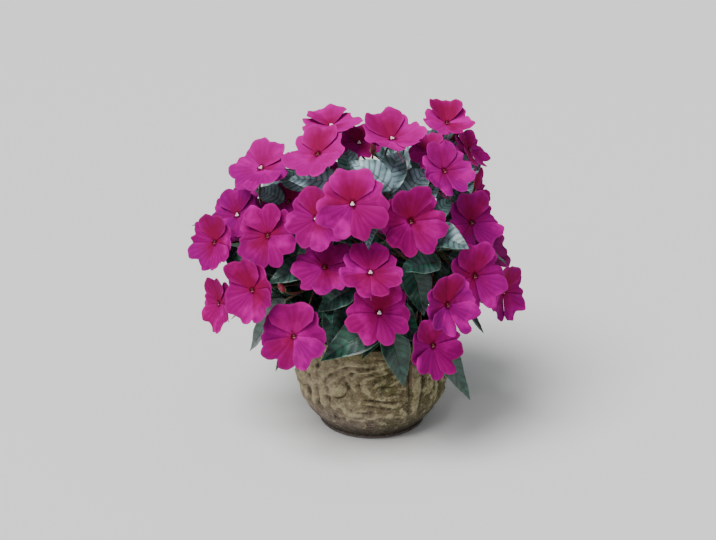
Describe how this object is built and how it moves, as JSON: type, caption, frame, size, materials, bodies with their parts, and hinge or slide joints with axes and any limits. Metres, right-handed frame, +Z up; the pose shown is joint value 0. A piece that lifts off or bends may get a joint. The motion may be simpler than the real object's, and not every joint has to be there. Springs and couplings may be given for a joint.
{
  "type": "potted New Guinea impatiens",
  "caption": "Round head of lance-shaped dark green leaves and flat magenta five-petalled blooms on succulent stems, standing in soil in a squat carved stone bowl.",
  "frame": {"origin": "centre of the pot's underside", "axes": "+Z up along the pot's axis; the side in the picture faces -Y; +X to the viewer's right"},
  "size_m": [0.346, 0.315, 0.3496],
  "materials": {
    "pot_stone": "weathered",
    "soil": "rough",
    "foliage": "satin",
    "petals": "matte"
  },
  "bodies": {
    "root": {"bloom_01": "petals", "bloom_02": "petals", "bloom_03": "petals", "bloom_04": "petals", "bloom_05": "petals", "bloom_06": "petals", "bloom_07": "petals", "bloom_08": "petals", "bloom_09": "petals", "bloom_10": "petals", "bloom_11": "petals", "bloom_12": "petals", "bloom_13": "petals", "bloom_14": "petals", "bloom_15": "petals", "bloom_16": "petals", "bloom_17": "petals", "bloom_18": "petals", "bloom_19": "petals", "bloom_20": "petals", "bloom_21": "petals", "bloom_22": "petals", "bloom_23": "petals", "bloom_24": "petals", "bloom_25": "petals", "bloom_26": "petals", "bloom_27": "petals", "bloom_28": "petals", "bloom_29": "petals", "bloom_30": "petals", "bloom_31": "petals", "bloom_32": "petals", "bloom_33": "petals", "bloom_34": "petals", "bloom_35": "petals", "bloom_36": "petals", "bloom_37": "petals", "bloom_38": "petals", "leafy_stem_01": "foliage", "leafy_stem_02": "foliage", "leafy_stem_03": "foliage", "leafy_stem_04": "foliage", "leafy_stem_05": "foliage", "leafy_stem_06": "foliage", "leafy_stem_07": "foliage", "leafy_stem_08": "foliage", "leafy_stem_09": "foliage", "leafy_stem_10": "foliage", "pot": "pot_stone", "soil": "soil"}
  },
  "joints": []
}
